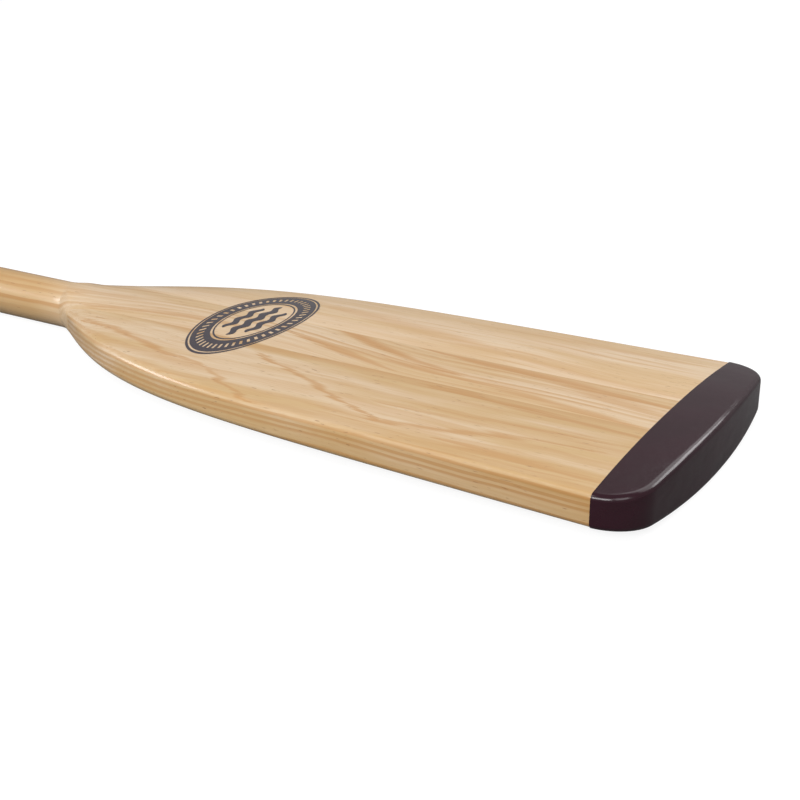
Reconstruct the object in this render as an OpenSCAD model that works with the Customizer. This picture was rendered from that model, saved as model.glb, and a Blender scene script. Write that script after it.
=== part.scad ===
// Single-blade wooden paddle, lying flat.
// X runs along the paddle from the grip (-X) to the blade tip (+X), Y across the blade, Z up.
// The origin is under the middle of the bounding box, on the plane the paddle lies on.

/* [Overall] */
// length from the end of the grip to the end of the tip guard
overall_l = 1372; // [1000:1:1700]
// shaft diameter
shaft_d = 28.2; // [27.6:0.2:29]

/* [Blade] */
// width where the tip guard starts, the widest point of the wood
blade_w = 184; // [140:1:220]
// length from the throat, where the outline leaves the shaft, to the start of the tip guard
blade_l = 382.5; // [300:0.5:560]
// thickness along the middle line
blade_centre_t = 27; // [18:0.1:27.2]
// edge thickness at the throat
throat_edge_t = 15.2; // [10:0.1:20]
// edge thickness at the tip
tip_edge_t = 16.4; // [10:0.1:20]
// radius along the long edges at the throat
throat_edge_round = 4.2; // [2:0.1:7]
// radius along the edges at the tip
tip_edge_round = 2.6; // [2:0.1:7]
// share of the shoulder curve in the outline, the rest is straight taper
shoulder_share = 0.83; // [0.6:0.01:1]
// length constant of the shoulder curve
shoulder_l = 71.5; // [20:0.5:120]
// above 1 the shoulder leaves the shaft in a soft sweep
shoulder_power = 1.25; // [1:0.05:2]
// exponent of the crown across the blade
crown_power = 2.2; // [1.5:0.1:4]

/* [Tip] */
// length of wood beyond the start of the tip guard
tip_l = 26.9; // [25.2:0.1:60]
// corner radius of the tip
tip_corner_r = 22.6; // [10:0.1:24]
// thickness of the dipped guard
guard_t = 0.4; // [0.3:0.1:0.5]
// how much each face of the edge falls away towards the end of the tip
tip_thin = 0.5; // [0:0.1:2]

/* [Boards] */
// glue line on the +Y side of the middle board
far_glue_y = 15; // [14.5:0.1:40]
// glue line on the -Y side of the middle board
near_glue_y = 24.5; // [14.5:0.1:40]

/* [Grip] */
// length of the shaped palm grip
grip_l = 122; // [90:1:160]
// width of the palm grip
grip_w = 76; // [60:1:95]
// thickness of the palm grip
grip_t = 27.5; // [20:0.5:27.5]
// diameter of the neck under the grip
neck_d = 27.5; // [22:0.5:27.5]
// length of the slimmer neck
neck_l = 60; // [40:1:120]

/* [Mark] */
// length of the printed oval, across the blade
mark_l = 108; // [40:1:120]
// width of the printed oval, along the blade
mark_w = 52; // [20:1:60]
// distance from the throat to the centre of the oval
mark_from_throat = 133; // [80:1:250]
// how far the oval sits off the middle line, towards +Y
mark_y = 4.5; // [-10:0.5:10]
// thickness of the ink film
mark_t = 0.15; // [0.1:0.05:0.5]

/* [Hidden] */
shaft_r = shaft_d / 2;
neck_r = neck_d / 2;
blade_half = blade_w / 2;
x_end = overall_l / 2;
x_guard = x_end - guard_t - tip_l;
x_throat = x_guard - blade_l;
// the round shaft turns into the blade section from this far before the throat
throat_lead = 6.5;
// to this far past it
throat_settle = 15;
x_shaft_end = x_throat - throat_lead;
// over this length the middle line comes down from the shaft's radius to the blade's half thickness
crown_fall_l = 337;
x_grip = -overall_l / 2;
x_neck = x_grip + grip_l;
neck_taper = 20;
x_shaft_start = x_neck + neck_l + neck_taper;
// carved ends reach into the turned shaft by this much, this far under its surface
socket = 3;
seat = 0.05;
// smallest half height of a carved edge
thin = 0.05;

corner_y = blade_half - tip_corner_r;
tip_rise = tip_l - tip_corner_r;
tip_arc_back = (corner_y * corner_y - tip_rise * tip_rise) / (2 * tip_rise);
tip_arc_r = tip_l + tip_arc_back;
tip_tangent_y = corner_y * tip_arc_r / (tip_arc_r - tip_corner_r);

palm_l = 34;
palm_power = 2.3;

mark_x = x_throat + mark_from_throat;
// keeps the flat facets of the film clear of the wood
film_gap = 0.03;

blade_stations = 26;
// packed towards the rounded edge
board_steps = [for (i = [0:13]) 1 - pow(1 - i / 13, 2.2)];
middle_steps = [for (i = [0:14]) (1 - cos(180 * i / 14)) / 2];
tip_rows = [for (k = [1:8]) 1 - pow(1 - k / 8, 2)];
end_rows = concat([0], tip_rows);

$fn = 96;

function lerp(a, b, t) = a + (b - a) * t;
function clamp01(t) = min(1, max(0, t));
function ease(t) = let (c = clamp01(t)) c * c * (3 - 2 * c);
function hyp(a, b) = sqrt(a * a + b * b);

// ---- blade shape ----

// 0 on the shaft side of the throat, 1 on the blade side
function throat_mix(x) = ease((x - x_shaft_end) / (throat_lead + throat_settle));

// rise of the blade outline from the throat (0) to the guard (1)
function shoulder(d) =
    shoulder_share * (1 - exp(-pow(d / shoulder_l, shoulder_power))) + (1 - shoulder_share) * d / blade_l;

function half_width(x) =
    lerp(shaft_r - seat, blade_half, shoulder(max(0, min(x, x_guard) - x_throat)) / shoulder(blade_l));

function centre_half(x) = lerp(shaft_r - seat, blade_centre_t / 2, ease((x - x_shaft_end) / crown_fall_l));

function edge_half(x) =
    let (
        along = clamp01((x - x_throat) / blade_l),
        beyond = clamp01((x - x_guard) / tip_l),
        settled = lerp(throat_edge_t, tip_edge_t, along) / 2
    )
    lerp(shaft_r - seat, settled, throat_mix(x)) - tip_thin * pow(beyond, 1.5);

function edge_radius(x) =
    let (rounding = lerp(throat_edge_round, tip_edge_round, clamp01((x - x_throat) / blade_l)))
    min(edge_half(x) - thin, lerp(shaft_r - seat, rounding, throat_mix(x)));

// distance of a point from the tip outline, x counted from the guard line
function tip_inset(x, y) =
    y > corner_y * (x + tip_arc_back) / tip_arc_back
    ? tip_corner_r - hyp(x, y - corner_y)
    : tip_arc_r - hyp(x + tip_arc_back, y);

function inset(x, y) = x <= x_guard ? half_width(x) - abs(y) : tip_inset(x - x_guard, abs(y));

// how far a rounded edge of radius r drops at a distance d from the outline
function edge_drop(d, r) = d >= r ? 0 : r - sqrt(max(0, r * r - pow(r - max(d, 0), 2)));

function crown(x, y) =
    let (across = min(1, abs(y) / half_width(x)))
    edge_half(x) + (max(centre_half(x), edge_half(x)) - edge_half(x)) * (1 - pow(across, crown_power));

// half thickness of the blade, grown by a coat of thickness grow
function blade_z(x, y, grow = 0) = crown(x, y) + grow - edge_drop(inset(x, y) + grow, edge_radius(x) + grow);

// ---- tip outline, x counted from the guard line ----

function tip_edge_x(y, grow) =
    abs(y) <= tip_tangent_y
    ? sqrt(pow(tip_arc_r + grow, 2) - y * y) - tip_arc_back
    : sqrt(pow(tip_corner_r + grow, 2) - pow(abs(y) - corner_y, 2));

// plan point of a side board in the tip
// q runs from the glue line to the outline, v from the guard line to the end
function tip_side_point(glue_y, q, v, grow) =
    let (
        r = tip_corner_r + grow,
        edge_y = corner_y + sqrt(r * r - pow(v * r * sin(45), 2)),
        end_y = lerp(glue_y, corner_y + r * cos(45), q)
    )
    [x_guard + v * tip_edge_x(end_y, grow), lerp(glue_y, edge_y, q)];

function tip_middle_point(y, v, grow) = [x_guard + v * tip_edge_x(y, grow), y];

// ---- solids between a top and a bottom surface ----

// one ring: the plan line at height z above, then back below
function ring(plan, heights) =
    let (n = len(plan) - 1)
    concat([for (i = [0:n]) [plan[i][0], plan[i][1], heights[i]]],
           [for (i = [n:-1:0]) [plan[i][0], plan[i][1], -heights[i]]]);

function quad(a, b, c, d) = [[a, b, c], [a, c, d]];

function flat_list(lists) = [for (part = lists) for (item = part) item];

// faces between consecutive rings of n points, first ring at point number start
function side_faces(rings, n, start = 0, inside = false) =
    flat_list([for (k = [0:rings - 2]) for (i = [0:n - 1])
        let (
            j = (i + 1) % n,
            a = start + k * n + i,
            b = start + k * n + j,
            c = start + (k + 1) * n + j,
            d = start + (k + 1) * n + i
        )
        inside ? [[c, b, a], [d, c, a]] : quad(a, b, c, d)]);

// faces that close ring number k between its upper and lower line
function cap_faces(k, n, start = 0, far_end = false) =
    flat_list([for (i = [0:n / 2 - 2])
        let (
            base = start + k * n,
            a = base + i,
            b = base + i + 1,
            c = base + n - 2 - i,
            d = base + n - 1 - i
        )
        far_end ? quad(a, b, c, d) : quad(d, c, b, a)]);

module loft(rings) {
    n = len(rings[0]);
    count = len(rings);
    polyhedron(
        points = flat_list(rings),
        faces = concat(side_faces(count, n), cap_faces(0, n), cap_faces(count - 1, n, far_end = true)),
        convexity = 4
    );
}

function blade_ring(plan) = ring(plan, [for (p = plan) blade_z(p[0], p[1])]);

// stations packed towards the throat, where the outline turns fastest
function stations(from, to, count) = [for (i = [0:count]) lerp(from, to, pow(i / count, 1.9))];

// x where the blade outline has opened to a half width of y
function open_x(y, lo, hi, rounds = 30) =
    let (mid = (lo + hi) / 2)
    rounds == 0 ? hi
    : half_width(mid) < y ? open_x(y, mid, hi, rounds - 1)
    : open_x(y, lo, mid, rounds - 1);

function mirrored(plan) = [for (i = [len(plan) - 1:-1:0]) [plan[i][0], -plan[i][1]]];

// plan lines of the board between a glue line and the blade outline, on the +Y side
function board_plans(glue_y) =
    concat(
        [for (x = stations(open_x(glue_y + 0.3, x_shaft_end, x_guard), x_guard, blade_stations))
            [for (q = board_steps) [x, lerp(glue_y, half_width(x), q)]]],
        [for (v = tip_rows) [for (q = board_steps) tip_side_point(glue_y, q, v, 0)]]
    );

module blade_board(glue_y, side) {
    loft([for (plan = board_plans(glue_y)) blade_ring(side > 0 ? plan : mirrored(plan))]);
}

// the middle board from inside the turned shaft to the blade tip
module blade_spine() {
    xs = concat([x_shaft_end - socket], stations(x_shaft_end, x_guard, blade_stations + 6));
    plans = concat(
        [for (x = xs) let (lo = -min(near_glue_y, half_width(x)), hi = min(far_glue_y, half_width(x)))
            [for (q = middle_steps) [x, lerp(lo, hi, q)]]],
        [for (v = tip_rows)
            [for (q = middle_steps) tip_middle_point(lerp(-near_glue_y, far_glue_y, q), v, 0)]]
    );
    loft([for (plan = plans) blade_ring(plan)]);
}

// ---- palm grip, g counted from the end of the grip ----

function palm_arc(g, power) = pow(1 - pow(1 - min(1, g / palm_l), power), 1 / power);

function grip_mix(g) = ease((g - palm_l) / (grip_l - palm_l));

function grip_half_width(g) = palm_arc(g, 2) * lerp(grip_w / 2, neck_r - seat, grip_mix(g));

function grip_half_t(g) = palm_arc(g, palm_power) * lerp(grip_t / 2, neck_r - seat, grip_mix(g));

function grip_z(g, y) =
    let (
        power = lerp(palm_power, 2, grip_mix(g)),
        across = min(1, abs(y) / grip_half_width(g))
    )
    max(thin, grip_half_t(g) * pow(1 - pow(across, power), 1 / power));

function grip_ring(g, lo, hi, steps) =
    let (plan = [for (q = steps) [x_grip + g, lerp(lo, hi, q)]])
    ring(plan, [for (p = plan) grip_z(g, p[1])]);

// stations packed towards the rounded end
grip_stations = concat([0.02],
                       [for (i = [1:9]) palm_l * (1 - cos(90 * i / 9))],
                       [for (i = [1:12]) lerp(palm_l, grip_l, i / 12)]);

module grip_spine() {
    loft([for (g = concat(grip_stations, [grip_l + socket]))
        let (w = grip_half_width(g))
        grip_ring(g, -min(near_glue_y, w), min(far_glue_y, w), middle_steps)]);
}

// the cheek between a glue line and the grip outline
module grip_cheek(glue_y, side) {
    g_start = palm_l * (1 - sqrt(1 - pow((glue_y + 0.3) / (grip_w / 2), 2)));
    inner = [for (g = grip_stations) if (g > g_start + 0.5 && grip_half_width(g) > glue_y + 0.3) g];
    for_g = concat([g_start], inner);
    outer_steps = side > 0 ? board_steps : [for (i = [len(board_steps) - 1:-1:0]) board_steps[i]];
    loft([for (g = for_g)
        let (plan = [for (q = outer_steps) [x_grip + g, side * lerp(glue_y, grip_half_width(g), q)]])
        ring(plan, [for (p = plan) grip_z(g, p[1])])]);
}

// ---- nodes ----

module centre_board() {
    color([0.86, 0.70, 0.50])
    translate([0, 0, shaft_r])
    union() {
        grip_spine();
        translate([x_neck, 0, 0])
        rotate([0, 90, 0])
        cylinder(r = neck_r, h = neck_l);
        translate([x_neck + neck_l, 0, 0])
        rotate([0, 90, 0])
        cylinder(r1 = neck_r, r2 = shaft_r, h = neck_taper);
        translate([x_shaft_start, 0, 0])
        rotate([0, 90, 0])
        cylinder(r = shaft_r, h = x_shaft_end - x_shaft_start);
        blade_spine();
    }
}

module near_blade_board() {
    color([0.84, 0.67, 0.46])
    translate([0, 0, shaft_r])
    blade_board(near_glue_y, -1);
}

module far_blade_board() {
    color([0.88, 0.73, 0.53])
    translate([0, 0, shaft_r])
    blade_board(far_glue_y, 1);
}

module near_grip_cheek() {
    color([0.84, 0.67, 0.46])
    translate([0, 0, shaft_r])
    grip_cheek(near_glue_y, -1);
}

module far_grip_cheek() {
    color([0.88, 0.73, 0.53])
    translate([0, 0, shaft_r])
    grip_cheek(far_glue_y, 1);
}

// plan line of the guard at row v, from the -Y edge to the +Y edge
function guard_plan(v, grow) =
    concat(
        mirrored([for (q = board_steps) tip_side_point(near_glue_y, q, v, grow)]),
        [for (i = [1:len(middle_steps) - 2])
            tip_middle_point(lerp(-near_glue_y, far_glue_y, middle_steps[i]), v, grow)],
        [for (q = board_steps) tip_side_point(far_glue_y, q, v, grow)]
    );

function guard_ring(v, grow) =
    let (plan = guard_plan(v, grow))
    ring(plan, [for (p = plan) blade_z(p[0], p[1], grow)]);

// a coat that follows the wood on its inside
module tip_guard() {
    outer = [for (v = end_rows) guard_ring(v, guard_t)];
    inner = [for (v = end_rows) guard_ring(v, 0)];
    n = len(outer[0]);
    rows = len(end_rows);
    skin = rows * n;
    rim = flat_list([for (i = [0:n - 1]) let (j = (i + 1) % n) quad(i, skin + i, skin + j, j)]);
    color([0.20, 0.14, 0.16])
    translate([0, 0, shaft_r])
    polyhedron(
        points = concat(flat_list(outer), flat_list(inner)),
        faces = concat(
            side_faces(rows, n),
            cap_faces(rows - 1, n, far_end = true),
            side_faces(rows, n, start = skin, inside = true),
            cap_faces(rows - 1, n, start = skin),
            rim
        ),
        convexity = 6
    );
}

// an oval film of ink that follows the crown of the blade
module oval_mark() {
    spokes = 48;
    loops = 5;
    function film_xy(k, i) = [mark_x + mark_w / 2 * k / loops * cos(360 * i / spokes),
                              mark_y + mark_l / 2 * k / loops * sin(360 * i / spokes)];
    plan = concat([[mark_x, mark_y]], [for (k = [1:loops]) for (i = [0:spokes - 1]) film_xy(k, i)]);
    count = len(plan);
    top = [for (p = plan) [p[0], p[1], blade_z(p[0], p[1]) + film_gap + mark_t]];
    under = [for (p = plan) [p[0], p[1], blade_z(p[0], p[1]) + film_gap]];
    function at(k, i) = 1 + (k - 1) * spokes + i % spokes;
    hub = [for (i = [0:spokes - 1]) [0, at(1, i + 1), at(1, i)]];
    web = flat_list([for (k = [1:loops - 1]) for (i = [0:spokes - 1])
        quad(at(k, i), at(k, i + 1), at(k + 1, i + 1), at(k + 1, i))]);
    upper = concat(hub, web);
    lower = [for (f = upper) [for (j = [2:-1:0]) count + f[j]]];
    rim = flat_list([for (i = [0:spokes - 1])
        quad(at(loops, i), at(loops, i + 1), count + at(loops, i + 1), count + at(loops, i))]);
    color([0.30, 0.27, 0.30])
    translate([0, 0, shaft_r])
    polyhedron(points = concat(top, under), faces = concat(upper, lower, rim), convexity = 4);
}

centre_board();
near_blade_board();
far_blade_board();
near_grip_cheek();
far_grip_cheek();
tip_guard();
oval_mark();
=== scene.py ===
"""A laminated wooden single-blade paddle: varnished pine boards, a dipped tip guard and a printed oval."""

import math
from collections import namedtuple

import bpy
import numpy as np
from mathutils import Matrix, Vector


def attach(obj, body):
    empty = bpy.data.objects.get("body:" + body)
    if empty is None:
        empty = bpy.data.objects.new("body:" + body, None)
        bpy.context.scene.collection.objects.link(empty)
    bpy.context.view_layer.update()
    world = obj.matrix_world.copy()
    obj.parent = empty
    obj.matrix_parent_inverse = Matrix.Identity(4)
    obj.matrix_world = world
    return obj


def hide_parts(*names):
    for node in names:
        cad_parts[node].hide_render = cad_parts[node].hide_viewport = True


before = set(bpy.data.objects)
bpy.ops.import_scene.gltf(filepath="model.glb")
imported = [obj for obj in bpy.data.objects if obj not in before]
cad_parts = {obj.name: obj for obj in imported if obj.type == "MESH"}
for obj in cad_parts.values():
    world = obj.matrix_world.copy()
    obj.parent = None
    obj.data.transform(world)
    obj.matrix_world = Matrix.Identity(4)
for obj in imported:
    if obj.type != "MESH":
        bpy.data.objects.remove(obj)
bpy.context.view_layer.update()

# ---------------------------------------------------------------- sizes, in metres, as in the CAD part
OVERALL_L = 1.372
SHAFT_R = 0.0141
BLADE_HALF = 0.092
BLADE_L = 0.3825
BLADE_CENTRE_HALF = 0.0135
THROAT_EDGE_HALF = 0.0076
TIP_EDGE_HALF = 0.0082
THROAT_EDGE_ROUND = 0.0042
TIP_EDGE_ROUND = 0.0026
SHOULDER_SHARE = 0.83
SHOULDER_L = 0.0715
SHOULDER_POWER = 1.25
THROAT_LEAD = 0.0065
THROAT_SETTLE = 0.015
CROWN_FALL_L = 0.337
CROWN_POWER = 2.2
TIP_L = 0.0269
TIP_CORNER_R = 0.0226
GUARD_T = 0.0004
TIP_THIN = 0.0005
FAR_GLUE_Y = 0.015
NEAR_GLUE_Y = 0.0245
GRIP_L = 0.122
GRIP_HALF_W = 0.038
GRIP_HALF_T = 0.01375
PALM_L = 0.034
PALM_POWER = 2.3
NECK_R = 0.01375
NECK_L = 0.060
NECK_TAPER = 0.020
MARK_HALF_L = 0.054
MARK_HALF_W = 0.026
MARK_FROM_THROAT = 0.133
MARK_Y = 0.0045

X_END = OVERALL_L / 2
X_GUARD = X_END - GUARD_T - TIP_L
X_THROAT = X_GUARD - BLADE_L
X_SHAFT_END = X_THROAT - THROAT_LEAD
X_GRIP = -OVERALL_L / 2
X_NECK = X_GRIP + GRIP_L
X_SHAFT_START = X_NECK + NECK_L + NECK_TAPER
AXIS_Z = SHAFT_R
MARK_X = X_THROAT + MARK_FROM_THROAT
# smallest half thickness of a carved edge
THIN = 0.00002

CORNER_Y = BLADE_HALF - TIP_CORNER_R
TIP_RISE = TIP_L - TIP_CORNER_R
TIP_ARC_BACK = (CORNER_Y**2 - TIP_RISE**2) / (2 * TIP_RISE)
TIP_ARC_R = TIP_L + TIP_ARC_BACK
TIP_TANGENT_Y = CORNER_Y * TIP_ARC_R / (TIP_ARC_R - TIP_CORNER_R)


# ---------------------------------------------------------------- shape of the paddle
def lerp(a, b, t):
    return a + (b - a) * t


def ease(t):
    t = np.clip(t, 0, 1)
    return t * t * (3 - 2 * t)


def throat_mix(x):
    """0 on the shaft side of the throat, 1 on the blade side."""
    return ease((x - X_SHAFT_END) / (THROAT_LEAD + THROAT_SETTLE))


def shoulder(d):
    """Rise of the blade outline at a distance d past the throat."""
    sweep = 1 - np.exp(-((d / SHOULDER_L) ** SHOULDER_POWER))
    return SHOULDER_SHARE * sweep + (1 - SHOULDER_SHARE) * d / BLADE_L


def half_width(x):
    from_throat = np.clip(np.minimum(x, X_GUARD) - X_THROAT, 0, None)
    return lerp(SHAFT_R, BLADE_HALF, shoulder(from_throat) / shoulder(BLADE_L))


def edge_half(x):
    along = np.clip((x - X_THROAT) / BLADE_L, 0, 1)
    beyond = np.clip((x - X_GUARD) / TIP_L, 0, 1)
    settled = lerp(THROAT_EDGE_HALF, TIP_EDGE_HALF, along)
    return lerp(SHAFT_R, settled, throat_mix(x)) - TIP_THIN * beyond**1.5


def centre_half(x):
    middle = lerp(SHAFT_R, BLADE_CENTRE_HALF, ease((x - X_SHAFT_END) / CROWN_FALL_L))
    return np.maximum(middle, edge_half(x))


def edge_radius(x):
    along = np.clip((x - X_THROAT) / BLADE_L, 0, 1)
    rounding = lerp(THROAT_EDGE_ROUND, TIP_EDGE_ROUND, along)
    return np.minimum(edge_half(x) - THIN, lerp(SHAFT_R, rounding, throat_mix(x)))


def inset(x, y):
    """Distance of a plan point from the blade's outline."""
    y = np.abs(y)
    t = x - X_GUARD
    corner = TIP_CORNER_R - np.hypot(t, y - CORNER_Y)
    end = TIP_ARC_R - np.hypot(t + TIP_ARC_BACK, y)
    tip = np.where(y > CORNER_Y * (t + TIP_ARC_BACK) / TIP_ARC_BACK, corner, end)
    return np.where(x <= X_GUARD, half_width(x) - y, tip)


def edge_drop(d, r):
    """How far an edge of radius r drops at a distance d inside the outline."""
    return np.where(d >= r, 0, r - np.sqrt(np.clip(r * r - (r - np.clip(d, 0, None)) ** 2, 0, None)))


def crown(x, y):
    across = np.clip(np.abs(y) / half_width(x), 0, 1)
    return edge_half(x) + (centre_half(x) - edge_half(x)) * (1 - across**CROWN_POWER)


def blade_z(x, y, grow=0.0):
    """Half thickness of the blade under a coat of thickness grow."""
    return crown(x, y) + grow - edge_drop(inset(x, y) + grow, edge_radius(x) + grow)


def tip_edge_x(y, grow=0.0):
    """How far the tip reaches past the guard line at y."""
    y = np.abs(y)
    arc = np.sqrt((TIP_ARC_R + grow) ** 2 - y * y) - TIP_ARC_BACK
    corner = np.sqrt(np.clip((TIP_CORNER_R + grow) ** 2 - (y - CORNER_Y) ** 2, 0, None))
    return np.where(y <= TIP_TANGENT_Y, arc, corner)


def palm_arc(g, power):
    """Rounded end of the palm grip, g from its end."""
    return (1 - (1 - np.clip(g / PALM_L, 0, 1)) ** power) ** (1 / power)


def grip_mix(g):
    return ease((g - PALM_L) / (GRIP_L - PALM_L))


def grip_half_width(g):
    return palm_arc(g, 2) * lerp(GRIP_HALF_W, NECK_R, grip_mix(g))


def grip_z(g, y):
    power = lerp(PALM_POWER, 2, grip_mix(g))
    half_t = palm_arc(g, PALM_POWER) * lerp(GRIP_HALF_T, NECK_R, grip_mix(g))
    across = np.clip(np.abs(y) / grip_half_width(g), 0, 1)
    return half_t * (1 - across**power) ** (1 / power)


def shaft_radius(x):
    return lerp(NECK_R, SHAFT_R, np.clip((x - X_NECK - NECK_L) / NECK_TAPER, 0, 1))


def any_half_width(x):
    """Half width anywhere along the paddle."""
    x = np.asarray(x, float)
    grip = grip_half_width(np.clip(x - X_GRIP, 1e-6, None))
    return np.where(x < X_NECK, grip, np.where(x < X_SHAFT_END, shaft_radius(x), half_width(x)))


def any_z(x, y):
    """Half thickness anywhere along the paddle."""
    round_z = np.sqrt(np.clip(shaft_radius(x) ** 2 - y * y, 0, None))
    grip = grip_z(np.clip(x - X_GRIP, 1e-6, None), y)
    z = np.where(x < X_NECK, grip, np.where(x < X_SHAFT_END, round_z, blade_z(x, y)))
    return np.maximum(z, THIN)


# ---------------------------------------------------------------- meshes
def make_object(name, verts, faces, material, sharp_deg=38):
    mesh = bpy.data.meshes.new(name)
    mesh.from_pydata([tuple(v) for v in verts], [], faces)
    mesh.validate()
    mesh.materials.append(material)
    for p in mesh.polygons:
        p.use_smooth = True
    mesh.set_sharp_from_angle(angle=math.radians(sharp_deg))
    obj = bpy.data.objects.new(name, mesh)
    bpy.context.scene.collection.objects.link(obj)
    return obj


def ring(plan, heights):
    """Closed ring: the plan line above the middle plane, then back below it."""
    up = np.column_stack([plan, AXIS_Z + heights])
    down = np.column_stack([plan, AXIS_Z - heights])[::-1]
    return np.vstack([up, down])


def loft_faces(rows, n, start=0, inside=False, near_cap=True, far_cap=True):
    """Faces between rows of n points each, with caps at the ends, all turned inwards for an inside wall."""
    faces = []
    for k in range(rows - 1):
        for i in range(n):
            j = (i + 1) % n
            a, b = start + k * n + i, start + k * n + j
            quad = (a, a + n, b + n, b)
            faces.append(quad[::-1] if inside else quad)
    half = n // 2
    for wanted, k, flip in ((near_cap, 0, inside), (far_cap, rows - 1, not inside)):
        for i in range(half - 1 if wanted else 0):
            base = start + k * n
            quad = (base + i, base + i + 1, base + n - 2 - i, base + n - 1 - i)
            faces.append(quad[::-1] if flip else quad)
    return faces


def loft(name, rings, material):
    n = len(rings[0])
    return make_object(name, np.vstack(rings), loft_faces(len(rings), n), material)


# steps across a board, packed towards the rounded edge, and across the middle board, packed to both sides
STEPS = 45
BOARD_STEPS = np.sin(np.linspace(0, np.pi / 2, STEPS))
MIDDLE_STEPS = (1 - np.cos(np.linspace(0, np.pi, STEPS))) / 2
# rows along each stretch of a board; those of the tip are shares of its length
PALM_ROWS = 40
GRIP_ROWS = 60
NECK_ROWS = 20
SHAFT_ROWS = 90
MIDDLE_BLADE_ROWS = 320
SIDE_BLADE_ROWS = 260
CHEEK_ROWS = 120
TIP_ROWS = 1 - (1 - np.arange(1, 21) / 20) ** 2
# a side board starts where the outline has opened this far past its glue line
SLIVER = 0.0002


def tip_side_line(glue_y, v, grow=0.0):
    """Plan line of a side board across the tip, on the +Y side."""
    r = TIP_CORNER_R + grow
    half = math.sin(math.pi / 4)
    edge_y = CORNER_Y + math.sqrt(r * r - (v * r * half) ** 2)
    end_y = lerp(glue_y, CORNER_Y + r * half, BOARD_STEPS)
    return np.column_stack([X_GUARD + v * tip_edge_x(end_y, grow), lerp(glue_y, edge_y, BOARD_STEPS)])


def tip_middle_line(v, grow=0.0):
    y = lerp(-NEAR_GLUE_Y, FAR_GLUE_Y, MIDDLE_STEPS)
    return np.column_stack([X_GUARD + v * tip_edge_x(y, grow), y])


def mirrored(plan):
    return plan[::-1] * np.array([1, -1])


def first_open_x(y, lo, hi):
    """Where between lo and hi the outline reaches y, found by halving."""
    halvings = 40
    for _ in range(halvings):
        mid = (lo + hi) / 2
        lo, hi = (mid, hi) if half_width(mid) < y else (lo, mid)
    return hi


def packed(a, b, count, power=1.5):
    """Stations from a to b, closer together near a."""
    return a + (b - a) * np.linspace(0, 1, count) ** power


def cross_line(x, from_y, to_y, steps):
    """Plan line straight across the paddle at x."""
    return np.column_stack([np.full(STEPS, x), lerp(from_y, to_y, steps)])


def loft_plans(name, plans, material, side=1):
    """Solid between the upper and lower surface over the plan lines, mirrored to -Y for side -1."""
    if side < 0:
        plans = [mirrored(p) for p in plans]
    return loft(name, [ring(p, any_z(p[:, 0], p[:, 1])) for p in plans], material)


def side_board(name, glue_y, side, material):
    start = first_open_x(glue_y + SLIVER, X_SHAFT_END, X_GUARD)
    plans = [cross_line(x, glue_y, float(half_width(x)), BOARD_STEPS)
             for x in packed(start, X_GUARD, SIDE_BLADE_ROWS)]
    plans += [tip_side_line(glue_y, v) for v in TIP_ROWS]
    return loft_plans(name, plans, material, side)


def middle_board(name, material):
    xs = np.concatenate([
        X_GRIP + PALM_L * (1 - np.cos(np.linspace(0.02, np.pi / 2, PALM_ROWS))),
        np.linspace(X_GRIP + PALM_L, X_NECK, GRIP_ROWS)[1:],
        np.linspace(X_NECK, X_SHAFT_START, NECK_ROWS)[1:],
        np.linspace(X_SHAFT_START, X_SHAFT_END, SHAFT_ROWS)[1:],
        packed(X_SHAFT_END, X_GUARD, MIDDLE_BLADE_ROWS)[1:],
    ])
    plans = []
    for x in xs:
        w = float(any_half_width(x))
        plans.append(cross_line(x, -min(NEAR_GLUE_Y, w), min(FAR_GLUE_Y, w), MIDDLE_STEPS))
    plans += [tip_middle_line(v) for v in TIP_ROWS]
    return loft_plans(name, plans, material)


def grip_cheek(name, glue_y, side, material):
    g0 = PALM_L * (1 - math.sqrt(1 - ((glue_y + SLIVER) / GRIP_HALF_W) ** 2))
    gs = np.concatenate([
        packed(g0, PALM_L, PALM_ROWS),
        np.linspace(PALM_L, GRIP_L, CHEEK_ROWS)[1:],
    ])
    gs = [g for g in gs if grip_half_width(g) > glue_y + SLIVER / 2]
    plans = [cross_line(X_GRIP + g, glue_y, float(grip_half_width(g)), BOARD_STEPS) for g in gs]
    return loft_plans(name, plans, material, side)


def guard_line(v, grow):
    """Plan line over all three boards across the tip."""
    return np.vstack([mirrored(tip_side_line(NEAR_GLUE_Y, v, grow)), tip_middle_line(v, grow)[1:-1],
                      tip_side_line(FAR_GLUE_Y, v, grow)])


def tip_guard(name, material):
    """A dipped coat: its lip rises from the wood in a quarter round."""
    lip_l = GUARD_T * 1.2
    lip = [(s * lip_l / TIP_L, GUARD_T * math.sqrt(1 - (1 - s) ** 2)) for s in np.linspace(0.15, 1, 8)]
    rows = lip + [(lerp(lip[-1][0], 1, v), GUARD_T) for v in TIP_ROWS]
    outer = []
    for v, grow in rows:
        plan = guard_line(v, grow)
        outer.append(ring(plan, blade_z(plan[:, 0], plan[:, 1], grow)))
    inner = []
    for v, _ in rows:
        plan = guard_line(v, 0)
        inner.append(ring(plan, blade_z(plan[:, 0], plan[:, 1])))
    n = len(outer[0])
    count = len(rows)
    faces = loft_faces(count, n, near_cap=False)
    faces += loft_faces(count, n, start=count * n, inside=True, near_cap=False)
    for i in range(n):
        j = (i + 1) % n
        faces.append((i, j, count * n + j, count * n + i))
    return make_object(name, np.vstack(outer + inner), faces, material)


# the printed film's gap to the wood, and its thickness
FILM_GAP = 0.00003
FILM_T = 0.00012

WAVE_L = 0.0135
WAVE_HEIGHT = 0.0011
WAVE_POINTS = 80
# half length, place from the oval's middle and thickness
WAVES = ((0.019, -0.0078, 0.0040), (0.027, 0.0, 0.0048), (0.019, 0.0078, 0.0040))
BEADS = 46
BEAD_POINTS = 6
# share of each bead's pitch that is left open, and how far a bead leans over
BEAD_GAP = 0.42
BEAD_SLANT = 0.02
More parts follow.
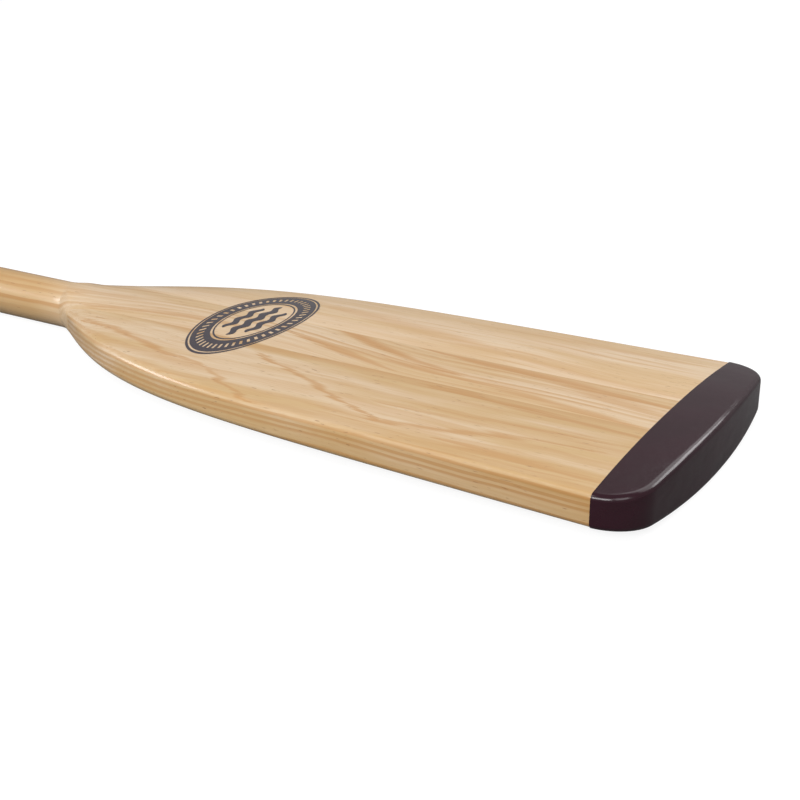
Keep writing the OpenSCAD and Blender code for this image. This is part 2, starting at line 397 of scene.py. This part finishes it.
# inner and outer scale of the beaded band, and of the plain bands around it
BEAD_BAND = (0.745, 0.855)
PLAIN_BANDS = ((0.965, 1.0), (0.855, 0.940), (0.650, 0.745), (0.590, 0.615))
RIM_POINTS = 145
BAND_ROWS = 4


def film(points_grid):
    """A thin closed slab over the blade from a grid of plan points (rows, columns, 2)."""
    rows, cols, _ = points_grid.shape
    flat = points_grid.reshape(-1, 2)
    z = AXIS_Z + blade_z(flat[:, 0], flat[:, 1]) + FILM_GAP
    top = np.column_stack([flat, z + FILM_T])
    under = np.column_stack([flat, z])
    m = rows * cols
    faces = []
    for r in range(rows - 1):
        for c in range(cols - 1):
            a = r * cols + c
            faces.append((a, a + 1, a + 1 + cols, a + cols))
            faces.append((m + a, m + a + cols, m + a + 1 + cols, m + a + 1))
    rim = [(0, c) for c in range(cols)] + [(r, cols - 1) for r in range(1, rows)]
    rim += [(rows - 1, c) for c in range(cols - 2, -1, -1)] + [(r, 0) for r in range(rows - 2, 0, -1)]
    ids = [r * cols + c for r, c in rim]
    for a, b in zip(ids, ids[1:] + ids[:1]):
        faces.append((a, m + a, m + b, b))
    return np.vstack([top, under]), faces


def oval_point(scale, angle):
    """Plan point on an oval concentric with the mark, scale 1 on its rim."""
    along = MARK_X + MARK_HALF_W * scale * np.cos(angle)
    across = MARK_Y + MARK_HALF_L * scale * np.sin(angle)
    return np.stack([along, across], -1)


def band(inner, outer, a0, a1, count, slant=0.0):
    """Film between two concentric ovals from angle a0 to a1."""
    angles = np.linspace(a0, a1, count)
    grid = []
    for t in np.linspace(0, 1, BAND_ROWS):
        grid.append(oval_point(lerp(inner, outer, t), angles + slant * t))
    return film(np.array(grid))


def wave_bar(half_length, x0, thickness):
    """A wavy bar across the blade, x0 from the oval's middle."""
    ys = np.linspace(-half_length, half_length, WAVE_POINTS)
    middle = MARK_X + x0 + WAVE_HEIGHT * np.sin(2 * np.pi * ys / WAVE_L)
    thick = thickness * np.sqrt(np.clip(1 - (ys / half_length) ** 4, 0.01, 1))
    return film(np.array([np.column_stack([middle + s * thick / 2, MARK_Y + ys]) for s in (-1, 0, 1)]))


def oval_mark(name, material):
    """A plain oval ornament: a rim, a beaded band and three waves."""
    full = 2 * np.pi
    pieces = [band(inner, outer, 0, full, RIM_POINTS) for inner, outer in PLAIN_BANDS]
    pitch = full / BEADS
    pieces += [band(*BEAD_BAND, k * pitch, (k + 1 - BEAD_GAP) * pitch, BEAD_POINTS, slant=BEAD_SLANT)
               for k in range(BEADS)]
    pieces += [wave_bar(half, x0, thick) for half, x0, thick in WAVES]
    verts, faces, start = [], [], 0
    for v, f in pieces:
        verts.append(v)
        faces += [tuple(start + i for i in face) for face in f]
        start += len(v)
    return make_object(name, np.vstack(verts), faces, material)


# ---------------------------------------------------------------- materials
class Nodes:
    """Short calls for building a node tree."""

    def __init__(self, name):
        self.material = bpy.data.materials.new(name)
        self.material.use_nodes = True
        self.tree = self.material.node_tree
        self.shader = self.tree.nodes["Principled BSDF"]

    def link(self, value, socket):
        if isinstance(value, bpy.types.NodeSocket):
            self.tree.links.new(value, socket)
        else:
            socket.default_value = value

    def add(self, kind, out=0, values=None, **settings):
        node = self.tree.nodes.new(kind)
        for key, value in settings.items():
            setattr(node, key, value)
        for key, value in (values or {}).items():
            self.link(value, node.inputs[key])
        return node.outputs[out]

    def math(self, operation, a, b=0.0, c=0.0):
        return self.add("ShaderNodeMath", values={0: a, 1: b, 2: c}, operation=operation)

    def vector(self, operation, a, b=(0, 0, 0)):
        return self.add("ShaderNodeVectorMath", values={0: a, 1: b}, operation=operation)

    def position(self):
        return self.add("ShaderNodeTexCoord", out="Object")

    def parts(self, vector):
        node = self.tree.nodes.new("ShaderNodeSeparateXYZ")
        self.link(vector, node.inputs[0])
        return node.outputs[:]

    def face_up(self):
        """The surface normal's share along Z."""
        return self.parts(self.add("ShaderNodeNewGeometry", out="Normal"))[2]

    def join(self, x, y, z):
        return self.add("ShaderNodeCombineXYZ", values={0: x, 1: y, 2: z})

    def noise(self, place, scale, detail=2.0, roughness=0.5, out="Fac", shift=(0, 0, 0)):
        """Noise whose features have a size of 1/scale along each axis."""
        stretched = self.vector("MULTIPLY", place, scale)
        moved = self.vector("ADD", stretched, shift)
        values = {"Vector": moved, "Scale": 1.0, "Detail": detail, "Roughness": roughness}
        return self.add("ShaderNodeTexNoise", out=out, values=values)

    def ramp(self, value, low, high, to_low=0.0, to_high=1.0):
        """Smooth step from to_low at low to to_high at high."""
        values = {"Value": value, "From Min": low, "From Max": high, "To Min": to_low, "To Max": to_high}
        return self.add("ShaderNodeMapRange", values=values, interpolation_type="SMOOTHSTEP")

    def mix(self, factor, a, b, blend="MIX"):
        node = self.tree.nodes.new("ShaderNodeMix")
        node.data_type = "RGBA"
        node.blend_type = blend
        self.link(factor, node.inputs["Factor"])
        self.link(a, node.inputs["A"])
        self.link(b, node.inputs["B"])
        return node.outputs["Result"]

    def bump(self, height, distance, strength=1.0, normal=None):
        values = {"Height": height, "Distance": distance, "Strength": strength}
        if normal is not None:
            values["Normal"] = normal
        return self.add("ShaderNodeBump", values=values)


CREAM = (0.695, 0.528, 0.350, 1)
HONEY = (0.605, 0.412, 0.205, 1)
LATEWOOD = (0.520, 0.272, 0.095, 1)
DUCT = (0.270, 0.125, 0.052, 1)
GUARD_DARK = (0.0215, 0.0040, 0.0085, 1)
GUARD_LIGHT = (0.0275, 0.0055, 0.0115, 1)
INK = (0.040, 0.031, 0.041, 1)
WORN_INK = (0.24, 0.17, 0.12, 1)

# A streak of latewood on a sawn face. Distances along are from the guard line, negative towards the grip.
Streak = namedtuple("Streak", "start end start_y end_y half_width strength")
# A place where the grain drifts sideways by rise between two stations.
Drift = namedtuple("Drift", "start end rise")
# How a board was sawn: rings per metre across its face and through its thickness, how strongly they show,
# and its own streaks and drifts.
Figure = namedtuple("Figure", "across through rings streaks drifts")

MIDDLE_FIGURE = Figure(
    across=210, through=150, rings=0.70,
    streaks=(
        Streak(-0.228, -0.105, 0.0130, -0.0070, 0.0075, 0.95),
        Streak(-0.160, 0.005, -0.0080, -0.0225, 0.0050, 0.80),
        Streak(-0.335, -0.240, -0.0200, -0.0190, 0.0040, 0.70),
        Streak(-0.228, -0.140, -0.0115, -0.0205, 0.0065, 0.90),
        Streak(-0.150, 0.015, 0.0150, 0.0070, 0.0060, 0.95),
        Streak(-0.070, 0.030, 0.0070, -0.0070, 0.0075, 0.60),
    ),
    drifts=(Drift(-0.380, -0.270, 0.010), Drift(-0.235, -0.120, -0.012)),
)
NEAR_FIGURE = Figure(
    across=60, through=330, rings=0.60,
    streaks=(
        Streak(-0.350, -0.225, -0.036, -0.061, 0.0035, 0.80),
        Streak(-0.262, -0.180, -0.055, -0.081, 0.0028, 0.75),
        Streak(-0.225, -0.110, -0.036, -0.073, 0.0040, 0.80),
        Streak(-0.135, -0.005, -0.073, -0.056, 0.0038, 0.75),
        Streak(-0.125, 0.015, -0.026, -0.035, 0.0055, 0.85),
        Streak(-0.110, 0.010, -0.050, -0.046, 0.0026, 0.65),
        Streak(-0.090, 0.010, -0.076, -0.082, 0.0045, 0.65),
    ),
    drifts=(),
)
FAR_FIGURE = Figure(
    across=48, through=330, rings=0.40,
    streaks=(
        Streak(-0.240, -0.105, 0.052, 0.034, 0.0150, 0.50),
        Streak(-0.140, 0.015, 0.031, 0.026, 0.0080, 0.45),
        Streak(-0.160, -0.005, 0.070, 0.079, 0.0070, 0.42),
    ),
    drifts=(Drift(-0.100, -0.030, -0.006),),
)
CHEEK_FIGURE = Figure(across=90, through=300, rings=0.45, streaks=(), drifts=())


# Painted shade: a darker tint multiplied over the shaft and the grip, and over the side walls, these more
# towards the guard.
SHADE_TINT = (0.80, 0.70, 0.52, 1)
SHAFT_SHADE = 1.0
THROAT_SIDE_SHADE = 0.0
GUARD_SIDE_SHADE = 0.95


def grain_place(n, figure, seed):
    """Position with the grain's waves taken out of y and z: streaks and rings are straight in it."""
    place = n.vector("SUBTRACT", n.position(), (X_GUARD, 0, AXIS_Z))
    middle = (0.5, 0.5, 0.5)
    slow = n.vector("SUBTRACT", n.noise(place, (5, 16, 16), 1.0, out="Color", shift=(seed, 0, 3)), middle)
    quick = n.vector("SUBTRACT", n.noise(place, (22, 70, 70), 2.0, out="Color", shift=(2, seed, 0)), middle)
    bent = n.vector("ADD", place, n.vector("MULTIPLY", slow, (0, 0.0090, 0.0060)))
    bent = n.vector("ADD", bent, n.vector("MULTIPLY", quick, (0, 0.0026, 0.0018)))
    x, y, z = n.parts(bent)
    for drift in figure.drifts:
        y = n.math("SUBTRACT", y, n.ramp(x, drift.start, drift.end, 0.0, drift.rise))
    return x, y, z


def streak_mask(n, x, y, streak):
    """1 along the streak's middle line, fading to 0 at its sides and at its pointed ends."""
    line_y = n.ramp(x, streak.start, streak.end, streak.start_y, streak.end_y)
    away = n.math("ABSOLUTE", n.math("SUBTRACT", y, line_y))
    span = {"Value": x, "From Min": streak.start, "From Max": streak.end, "To Min": -1.0, "To Max": 1.0}
    along = n.add("ShaderNodeMapRange", values=span)
    fullness = n.math("SUBTRACT", 1.0, n.math("POWER", n.math("ABSOLUTE", along), 2.0))
    width = n.math("MULTIPLY_ADD", fullness, streak.half_width, 0.00001)
    return n.ramp(n.math("DIVIDE", away, width), 1.0, 0.15, 0.0, streak.strength)


def pine(name, figure, seed, tone=0.5, shade=1.0):
    """Varnished pine: growth rings, latewood streaks, fibre and short resin ducts.

    tone runs from cream (0) to honey (1); shade makes the whole board lighter or darker.
    """
    n = Nodes(name)
    x, y, z = grain_place(n, figure, seed)
    grain = n.join(x, y, z)
    # growth rings: pale early wood that darkens to a sharp late edge
    phase = n.math("ADD", n.math("MULTIPLY", y, figure.across), n.math("MULTIPLY", z, figure.through))
    part = n.math("FRACT", phase)
    year = n.math("ADD", n.math("FLOOR", phase), seed)
    weight = n.add("ShaderNodeTexWhiteNoise", out="Value", values={"W": year}, noise_dimensions="1D")
    late = n.math("MULTIPLY", n.ramp(part, 0.10, 0.80), n.ramp(part, 1.0, 0.88))
    rings = n.math("MULTIPLY", late, n.ramp(weight, 0.0, 1.0, 0.25, 1.0))
    patch = n.noise(grain, (7, 60, 60), 2.0, shift=(seed, 2, 5))
    late = n.math("MULTIPLY", rings, n.ramp(patch, 0.35, 0.62, 0.35, figure.rings))
    # long narrow streaks between the rings, and the board's own broad ones, torn into fibres at their sides
    line = n.noise(grain, (8, 260, 260), 4.0, 0.62, shift=(4, seed, 8))
    late = n.math("MAXIMUM", late, n.ramp(line, 0.48, 0.74, 0.0, 0.65))
    torn_y = n.math("MULTIPLY_ADD", n.math("SUBTRACT", line, 0.5), 0.014, y)
    inside = n.ramp(line, 0.25, 0.60, 0.65, 1.0)
    for streak in figure.streaks:
        mask = n.math("MULTIPLY", streak_mask(n, x, torn_y, streak), inside)
        late = n.math("MAXIMUM", late, mask)
    # edges show the rings crisply
    edge = n.ramp(n.math("ABSOLUTE", n.face_up()), 0.85, 0.30)
    crisp = n.ramp(rings, 0.10, 0.60, 0.0, 0.62)
    late = n.math("ADD", late, n.math("MULTIPLY", edge, n.math("SUBTRACT", crisp, late)))
    cloud = n.noise(grain, (6, 45, 45), 3.0, shift=(9, seed, 4))
    ground = n.mix(n.ramp(cloud, 0.36, 0.64, tone - 0.6, tone + 0.6), CREAM, HONEY)
    wood = n.mix(late, ground, LATEWOOD)
    # painted shade: the side walls darken more towards the guard, and the shaft and grip darken, by
    # multiplying with a darker tint
    painted_shade = n.math("MULTIPLY", edge, n.ramp(x, -0.22, 0.02, THROAT_SIDE_SHADE, GUARD_SIDE_SHADE))
    painted_shade = n.math("MAXIMUM", painted_shade, n.ramp(x, -0.36, -0.41, 0.0, SHAFT_SHADE))
    wood = n.mix(painted_shade, wood, SHADE_TINT, "MULTIPLY")
    fibre = n.noise(grain, (28, 1300, 1300), 2.0, 0.6)
    wood = n.mix(n.ramp(fibre, 0.38, 0.72, 0.0, 0.22), wood, LATEWOOD)
    ducts = n.noise(grain, (130, 1500, 1500), 1.0, shift=(seed, 1, 1))
    wood = n.mix(n.ramp(ducts, 0.70, 0.78, 0.0, 0.70), wood, DUCT)
    wood = n.vector("MULTIPLY", wood, (shade, shade, shade))
    n.link(wood, n.shader.inputs["Base Color"])
    n.link(n.ramp(fibre, 0.3, 0.8, 0.42, 0.55), n.shader.inputs["Roughness"])
    n.link(n.bump(fibre, 0.00004, 0.5), n.shader.inputs["Normal"])
    n.shader.inputs["Coat Weight"].default_value = 0.80
    n.shader.inputs["Coat Roughness"].default_value = 0.20
    n.shader.inputs["Coat IOR"].default_value = 1.48
    n.shader.inputs["Specular IOR Level"].default_value = 0.25
    wave = n.noise(grain, (18, 60, 60), 1.0)
    n.link(n.bump(wave, 0.0006, 0.4), n.shader.inputs["Coat Normal"])
    return n.material


def dipped_coat(name):
    """Dark glossy coat with slow runs and a fine orange peel."""
    n = Nodes(name)
    place = n.position()
    slow = n.noise(place, (30, 30, 60), 2.0)
    shade = n.mix(n.ramp(slow, 0.3, 0.7), GUARD_DARK, GUARD_LIGHT)
    n.link(shade, n.shader.inputs["Base Color"])
    speck = n.noise(place, (900, 900, 900), 2.0)
    n.link(n.ramp(speck, 0.3, 0.8, 0.16, 0.26), n.shader.inputs["Roughness"])
    orange_peel = n.noise(place, (260, 260, 260), 2.0)
    run = n.bump(slow, 0.0012, 0.5)
    n.link(n.bump(orange_peel, 0.00008, 0.5, normal=run), n.shader.inputs["Normal"])
    n.shader.inputs["Specular IOR Level"].default_value = 0.40
    n.shader.inputs["Coat Weight"].default_value = 0.12
    n.shader.inputs["Coat Roughness"].default_value = 0.08
    return n.material


def ink(name):
    """Dark ink under the varnish, worn thin in places."""
    n = Nodes(name)
    worn = n.noise(n.position(), (200, 900, 900), 3.0, 0.7)
    shade = n.mix(n.ramp(worn, 0.56, 0.78, 0.0, 0.35), INK, WORN_INK)
    n.link(shade, n.shader.inputs["Base Color"])
    n.link(n.ramp(worn, 0.3, 0.8, 0.40, 0.6), n.shader.inputs["Roughness"])
    n.shader.inputs["Coat Weight"].default_value = 0.6
    n.shader.inputs["Coat Roughness"].default_value = 0.16
    return n.material


# ---------------------------------------------------------------- pieces
MIDDLE_PINE = pine("pine_middle", MIDDLE_FIGURE, 3.0, 0.15, shade=1.05)
NEAR_PINE = pine("pine_near", NEAR_FIGURE, 11.0, 0.50, shade=0.98)
FAR_PINE = pine("pine_far", FAR_FIGURE, 17.0, 0.15, shade=1.15)
NEAR_CHEEK_PINE = pine("pine_near_cheek", CHEEK_FIGURE, 23.0)
FAR_CHEEK_PINE = pine("pine_far_cheek", CHEEK_FIGURE, 29.0, 0.4)

PIECES = {
    "centre_board": middle_board("middle_board_wood", MIDDLE_PINE),
    "near_blade_board": side_board("near_board_wood", NEAR_GLUE_Y, -1, NEAR_PINE),
    "far_blade_board": side_board("far_board_wood", FAR_GLUE_Y, 1, FAR_PINE),
    "near_grip_cheek": grip_cheek("near_cheek_wood", NEAR_GLUE_Y, -1, NEAR_CHEEK_PINE),
    "far_grip_cheek": grip_cheek("far_cheek_wood", FAR_GLUE_Y, 1, FAR_CHEEK_PINE),
    "tip_guard": tip_guard("dipped_guard", dipped_coat("dipped_coat")),
    "oval_mark": oval_mark("printed_oval", ink("printed_ink")),
}
for node, piece in PIECES.items():
    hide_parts(node)
    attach(piece, "root")


# ---------------------------------------------------------------- floor, light, camera
STUDIO_R = 8.0
DOME_TURNS = 48
DOME_RINGS = 8
DOME_ALBEDO = 0.18
DOME_GLOW = 0.88
FLOOR_ALBEDO = 0.19
# the bounce floor lies this far under the white one
FLOOR_Z = -0.0005
# height of a direction at which the sky's strength starts and stops changing
SKY_LOW = 0.04
SKY_HIGH = 0.36
SENSOR_MM = 36


def stage_mesh(name, verts, faces, albedo, glow):
    """Part of the studio: a matt surface that also glows a little."""
    n = Nodes(name)
    n.shader.inputs["Base Color"].default_value = (albedo, albedo, albedo, 1)
    n.shader.inputs["Roughness"].default_value = 0.9
    n.shader.inputs["Specular IOR Level"].default_value = 0.0
    n.shader.inputs["Emission Color"].default_value = (1, 1, 1, 1)
    n.shader.inputs["Emission Strength"].default_value = glow
    obj = make_object(name, verts, faces, n.material)
    return obj


def studio():
    """White floor and dome for the camera, and a greyer floor under it for bounced and mirrored light."""
    turns = DOME_TURNS
    rises = np.linspace(0, math.pi / 2, DOME_RINGS + 1)[:-1]
    rise = [(STUDIO_R * math.cos(a), STUDIO_R * math.sin(a)) for a in rises]
    verts = [(0, 0, 0), (0, 0, STUDIO_R)]
    verts += [(r * math.cos(2 * math.pi * k / turns), r * math.sin(2 * math.pi * k / turns), z)
              for r, z in rise for k in range(turns)]
    faces = []
    last = (DOME_RINGS - 1) * turns
    for k in range(turns):
        here, there = 2 + k, 2 + (k + 1) % turns
        faces.append((0, here, there))
        faces.append((1, last + there, last + here))
        faces += [(here + q * turns, here + (q + 1) * turns, there + (q + 1) * turns, there + q * turns)
                  for q in range(DOME_RINGS - 1)]
    white = stage_mesh("white_studio", verts, faces, DOME_ALBEDO, DOME_GLOW)
    white.visible_diffuse = False
    white.visible_glossy = False
    white.visible_shadow = False
    corners = ((-1, -1), (1, -1), (1, 1), (-1, 1))
    square = [(STUDIO_R * a, STUDIO_R * b, FLOOR_Z) for a, b in corners]
    grey = stage_mesh("bounce_floor", square, [(0, 1, 2, 3)], FLOOR_ALBEDO, 0.0)
    grey.visible_camera = False


def area_light(name, place, target, size_x, size_y, watts):
    data = bpy.data.lights.new(name, "AREA")
    data.shape = "RECTANGLE"
    data.size = size_x
    data.size_y = size_y
    data.energy = watts
    obj = bpy.data.objects.new(name, data)
    obj.location = place
    obj.rotation_euler = (Vector(target) - Vector(place)).to_track_quat("-Z", "Y").to_euler()
    obj.visible_camera = False
    bpy.context.scene.collection.objects.link(obj)


def soft_sky(horizon, overhead):
    """Nearly even light from all round, with its own strength at the horizon and overhead."""
    world = bpy.data.worlds.new("studio")
    world.use_nodes = True
    tree = world.node_tree
    place = tree.nodes.new("ShaderNodeTexCoord")
    parts = tree.nodes.new("ShaderNodeSeparateXYZ")
    ramp = tree.nodes.new("ShaderNodeMapRange")
    tree.links.new(place.outputs["Generated"], parts.inputs[0])
    tree.links.new(parts.outputs["Z"], ramp.inputs["Value"])
    limits = (("From Min", SKY_LOW), ("From Max", SKY_HIGH), ("To Min", horizon), ("To Max", overhead))
    for socket, value in limits:
        ramp.inputs[socket].default_value = value
    back = tree.nodes["Background"]
    back.inputs["Color"].default_value = (1, 1, 1, 1)
    tree.links.new(ramp.outputs["Result"], back.inputs["Strength"])
    bpy.context.scene.world = world


def photo_camera():
    """A camera at the photograph's angle, with the middle of the guard line off the centre of the frame."""
    # focal length in widths of the sensor
    focal = 1.819
    azimuth, elevation, roll = math.radians(30.76), math.radians(22.99), math.radians(-0.16)
    distance = 0.7096
    # place of the guard line's middle in the frame, in widths from its centre
    aside, above = 0.3330, -0.0462
    flat = math.cos(elevation)
    back = Vector((math.sin(azimuth) * flat, -math.cos(azimuth) * flat, math.sin(elevation)))
    right = Vector((math.cos(azimuth), math.sin(azimuth), 0))
    up = back.cross(right)
    right, up = right * math.cos(roll) + up * math.sin(roll), up * math.cos(roll) - right * math.sin(roll)
    middle = Vector((X_GUARD, 0, AXIS_Z))
    place = middle + back * distance - right * (aside * distance / focal) - up * (above * distance / focal)
    data = bpy.data.cameras.new("camera")
    data.sensor_width = SENSOR_MM
    data.lens = focal * SENSOR_MM
    data.clip_start = 0.01
    data.clip_end = 50
    cam = bpy.data.objects.new("camera", data)
    cam.matrix_world = Matrix.Translation(place) @ Matrix((right, up, back)).transposed().to_4x4()
    bpy.context.scene.collection.objects.link(cam)
    bpy.context.scene.camera = cam


studio()
soft_sky(0.34, 0.32)
area_light("overhead", (1.1, 1.6, 1.8), (0.5, 0, 0), 2.4, 1.6, 19)
area_light("front", (0.6, -2.05, 1.35), (0.4, 0, 0), 1.6, 0.7, 36)
area_light("left", (-2.6, -1.5, 1.1), (0.3, 0, 0), 1.2, 1.0, 38)
area_light("right", (1.9, -1.2, 1.5), (0.6, 0, 0), 1.0, 0.9, 9)
area_light("edge_strip", (-0.2, -0.8, 1.6), (0.4, -0.09, 0), 0.8, 0.12, 3)
area_light("back", (1.6, 2.0, 1.5), (0.5, 0, 0), 1.4, 0.8, 14)
photo_camera()
bpy.context.scene.view_settings.view_transform = "Standard"
